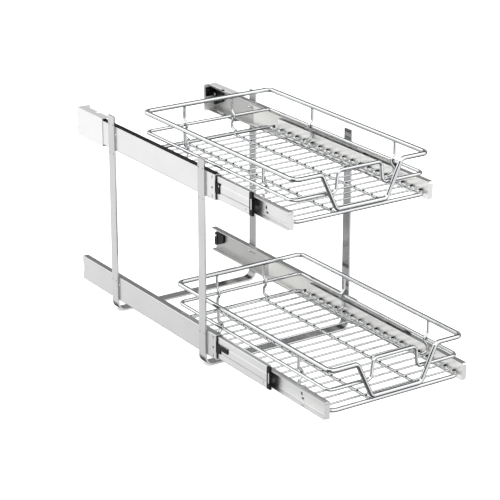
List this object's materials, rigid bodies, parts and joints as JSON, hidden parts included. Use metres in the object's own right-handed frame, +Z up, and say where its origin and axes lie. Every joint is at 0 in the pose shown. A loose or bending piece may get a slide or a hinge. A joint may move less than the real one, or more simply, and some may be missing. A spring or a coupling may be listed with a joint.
{
  "type": "pull out cabinet basket",
  "caption": "Chrome wire organiser for a kitchen cabinet: baskets on full-extension ball slides, one above the other, held by bent strap frames screwed to the cabinet floor.",
  "frame": {"origin": "middle of the floor screw holes, on the underside of the two strap frames", "axes": "+Z up; the baskets pull out towards -Y, so the front faces -Y; +X to the right seen from the front"},
  "size_m": [0.3, 0.766, 0.3947],
  "materials": {
    "frame_steel": "bright plated steel strap",
    "slide_steel": "bright plated sheet steel",
    "chrome_wire": "polished chrome plate on steel wire",
    "cage_steel": "thin rolled strip",
    "ball_steel": "ground bearing steel",
    "black_plastic": "moulded, fine texture"
  },
  "bodies": {
    "frame": {"front_frame": "frame_steel", "rear_frame": "frame_steel", "upper_left_fixed_rail": "slide_steel", "upper_right_fixed_rail": "slide_steel", "lower_left_fixed_rail": "slide_steel", "lower_right_fixed_rail": "slide_steel", "upper_left_rear_sleeve": "slide_steel", "upper_right_rear_sleeve": "slide_steel", "upper_left_retainer": "black_plastic", "upper_right_retainer": "black_plastic", "lower_left_retainer": "black_plastic", "lower_right_retainer": "black_plastic", "upper_left_damper": "black_plastic", "upper_right_damper": "black_plastic", "lower_left_damper": "black_plastic", "lower_right_damper": "black_plastic", "damper_rivets": "ball_steel", "foot_screws": "ball_steel"},
    "upper_basket": {"upper_top_rail": "chrome_wire", "upper_middle_rail": "chrome_wire", "upper_floor_loop": "chrome_wire", "upper_cross_wires": "chrome_wire", "upper_long_rods": "chrome_wire", "upper_uprights": "chrome_wire", "upper_left_inner_member": "slide_steel", "upper_right_inner_member": "slide_steel"},
    "upper_left_mid_member": {"upper_left_mid_member": "slide_steel", "upper_left_bumper": "black_plastic"},
    "upper_left_outer_cage": {"upper_left_outer_cage": "cage_steel", "upper_left_outer_balls": "ball_steel"},
    "upper_left_inner_cage": {"upper_left_inner_cage": "cage_steel", "upper_left_inner_balls": "ball_steel"},
    "upper_right_mid_member": {"upper_right_mid_member": "slide_steel", "upper_right_bumper": "black_plastic"},
    "upper_right_outer_cage": {"upper_right_outer_cage": "cage_steel", "upper_right_outer_balls": "ball_steel"},
    "upper_right_inner_cage": {"upper_right_inner_cage": "cage_steel", "upper_right_inner_balls": "ball_steel"},
    "lower_basket": {"lower_top_rail": "chrome_wire", "lower_middle_rail": "chrome_wire", "lower_floor_loop": "chrome_wire", "lower_cross_wires": "chrome_wire", "lower_long_rods": "chrome_wire", "lower_uprights": "chrome_wire", "lower_left_inner_member": "slide_steel", "lower_right_inner_member": "slide_steel"},
    "lower_left_mid_member": {"lower_left_mid_member": "slide_steel", "lower_left_bumper": "black_plastic"},
    "lower_left_outer_cage": {"lower_left_outer_cage": "cage_steel", "lower_left_outer_balls": "ball_steel"},
    "lower_left_inner_cage": {"lower_left_inner_cage": "cage_steel", "lower_left_inner_balls": "ball_steel"},
    "lower_right_mid_member": {"lower_right_mid_member": "slide_steel", "lower_right_bumper": "black_plastic"},
    "lower_right_outer_cage": {"lower_right_outer_cage": "cage_steel", "lower_right_outer_balls": "ball_steel"},
    "lower_right_inner_cage": {"lower_right_inner_cage": "cage_steel", "lower_right_inner_balls": "ball_steel"}
  },
  "joints": [
    {"name": "upper_basket_slide", "type": "slide", "parent": "frame", "child": "upper_basket", "axis": [0, -1, 0], "range_m": [-0.194, 0.238]},
    {"name": "upper_left_mid_member_slide", "type": "slide", "parent": "frame", "child": "upper_left_mid_member", "axis": [0, -1, 0], "range_m": [-0.0971, 0.1191]},
    {"name": "upper_left_outer_cage_slide", "type": "slide", "parent": "frame", "child": "upper_left_outer_cage", "axis": [0, -1, 0], "range_m": [-0.0486, 0.0596]},
    {"name": "upper_left_inner_cage_slide", "type": "slide", "parent": "frame", "child": "upper_left_inner_cage", "axis": [0, -1, 0], "range_m": [-0.1456, 0.1786]},
    {"name": "upper_right_mid_member_slide", "type": "slide", "parent": "frame", "child": "upper_right_mid_member", "axis": [0, -1, 0], "range_m": [-0.0971, 0.1191]},
    {"name": "upper_right_outer_cage_slide", "type": "slide", "parent": "frame", "child": "upper_right_outer_cage", "axis": [0, -1, 0], "range_m": [-0.0486, 0.0596]},
    {"name": "upper_right_inner_cage_slide", "type": "slide", "parent": "frame", "child": "upper_right_inner_cage", "axis": [0, -1, 0], "range_m": [-0.1456, 0.1786]},
    {"name": "lower_basket_slide", "type": "slide", "parent": "frame", "child": "lower_basket", "axis": [0, -1, 0], "range_m": [-0.296, 0.136]},
    {"name": "lower_left_mid_member_slide", "type": "slide", "parent": "frame", "child": "lower_left_mid_member", "axis": [0, -1, 0], "range_m": [-0.1481, 0.0681]},
    {"name": "lower_left_outer_cage_slide", "type": "slide", "parent": "frame", "child": "lower_left_outer_cage", "axis": [0, -1, 0], "range_m": [-0.0741, 0.0341]},
    {"name": "lower_left_inner_cage_slide", "type": "slide", "parent": "frame", "child": "lower_left_inner_cage", "axis": [0, -1, 0], "range_m": [-0.2221, 0.1021]},
    {"name": "lower_right_mid_member_slide", "type": "slide", "parent": "frame", "child": "lower_right_mid_member", "axis": [0, -1, 0], "range_m": [-0.1481, 0.0681]},
    {"name": "lower_right_outer_cage_slide", "type": "slide", "parent": "frame", "child": "lower_right_outer_cage", "axis": [0, -1, 0], "range_m": [-0.0741, 0.0341]},
    {"name": "lower_right_inner_cage_slide", "type": "slide", "parent": "frame", "child": "lower_right_inner_cage", "axis": [0, -1, 0], "range_m": [-0.2221, 0.1021]}
  ],
  "couplings": [
    {"joint": "upper_left_mid_member_slide", "follows": "upper_basket_slide", "ratio": 0.5},
    {"joint": "upper_left_outer_cage_slide", "follows": "upper_basket_slide", "ratio": 0.25},
    {"joint": "upper_left_inner_cage_slide", "follows": "upper_basket_slide", "ratio": 0.75},
    {"joint": "upper_right_mid_member_slide", "follows": "upper_basket_slide", "ratio": 0.5},
    {"joint": "upper_right_outer_cage_slide", "follows": "upper_basket_slide", "ratio": 0.25},
    {"joint": "upper_right_inner_cage_slide", "follows": "upper_basket_slide", "ratio": 0.75},
    {"joint": "lower_left_mid_member_slide", "follows": "lower_basket_slide", "ratio": 0.5},
    {"joint": "lower_left_outer_cage_slide", "follows": "lower_basket_slide", "ratio": 0.25},
    {"joint": "lower_left_inner_cage_slide", "follows": "lower_basket_slide", "ratio": 0.75},
    {"joint": "lower_right_mid_member_slide", "follows": "lower_basket_slide", "ratio": 0.5},
    {"joint": "lower_right_outer_cage_slide", "follows": "lower_basket_slide", "ratio": 0.25},
    {"joint": "lower_right_inner_cage_slide", "follows": "lower_basket_slide", "ratio": 0.75}
  ]
}
